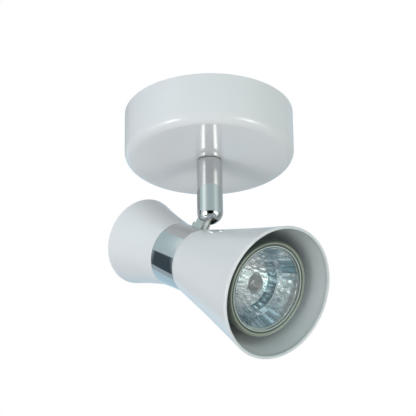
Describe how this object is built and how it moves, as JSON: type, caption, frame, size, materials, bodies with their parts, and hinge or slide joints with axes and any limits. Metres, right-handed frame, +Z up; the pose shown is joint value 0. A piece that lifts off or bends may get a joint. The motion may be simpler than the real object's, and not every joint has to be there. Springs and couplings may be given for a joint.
{
  "type": "adjustable ceiling spotlight",
  "caption": "Ceiling spotlight: white cup canopy, short chromed stem and a flared white head on a tilting knuckle that holds a twist-and-lock reflector lamp",
  "frame": {"origin": "middle of the canopy's open face, on the ceiling plane, on the axis of the stem", "axes": "+Z is up, into the ceiling; the head faces -Y as it is stored; +X is along the tilt axis and the ceiling strap"},
  "size_m": [0.0916, 0.1268, 0.1478],
  "materials": {
    "white_enamel": "gloss white enamel on spun or pressed steel sheet",
    "zinc_steel": "bright zinc-plated steel",
    "spring_steel": "darkened spring steel",
    "chromed_steel": "polished chrome plate on turned steel",
    "brass": "turned or stamped brass",
    "ivory_plastic": "moulded plastic, light matt",
    "fibre": "pressed fibre board",
    "wire_sleeve": "soft light plastic sleeve",
    "ceramic": "unglazed pressed steatite ceramic",
    "mirror_glass": "pressed faceted glass with a dichroic mirror coat inside",
    "clear_glass": "clear glass"
  },
  "bodies": {
    "base": {"canopy": "white_enamel", "ceiling_strap": "zinc_steel", "canopy_hook": "zinc_steel", "canopy_screw": "white_enamel", "terminal_block": "ivory_plastic", "terminal_clamps": "brass", "terminal_screws": "zinc_steel", "block_screws": "zinc_steel", "earth_screw": "brass", "canopy_wires": "wire_sleeve", "pan_bush": "chromed_steel", "slip_washer": "fibre", "stop_peg": "zinc_steel"},
    "stem": {"stop_washer": "zinc_steel", "spring_washer": "spring_steel", "stem_nut": "brass", "lock_nut": "brass", "nipple": "brass", "cable_gland": "ivory_plastic", "stem": "chromed_steel", "stem_cable": "wire_sleeve", "pivot_screw": "chromed_steel"},
    "head": {"pivot_spacer": "brass", "knuckle_bracket": "zinc_steel", "head_cable": "wire_sleeve", "waist_band": "chromed_steel", "rear_cup": "white_enamel", "front_shade": "white_enamel", "holder_frame": "zinc_steel", "bracket_screw": "zinc_steel", "lamp_holder": "ceramic", "holder_screws": "zinc_steel", "contact_springs": "brass", "tie_screw": "zinc_steel"},
    "lamp": {"lamp_reflector": "mirror_glass", "lamp_cover": "clear_glass", "lamp_capsule": "clear_glass", "lamp_base": "ceramic", "lamp_pins": "zinc_steel"}
  },
  "joints": [
    {"name": "pan", "type": "hinge", "parent": "base", "child": "stem", "pos_m": [0, 0, 0], "axis": [0, 0, 1], "range_deg": [-165, 165]},
    {"name": "tilt", "type": "hinge", "parent": "stem", "child": "head", "pos_m": [0, 0, -0.0582], "axis": [1, 0, 0], "range_deg": [-46, 15]},
    {"name": "lamp_twist", "type": "hinge", "parent": "head", "child": "lamp", "pos_m": [0, 0.01676, -0.07956], "axis": [0, -0.8462, -0.5329], "range_deg": [0, 25]}
  ]
}
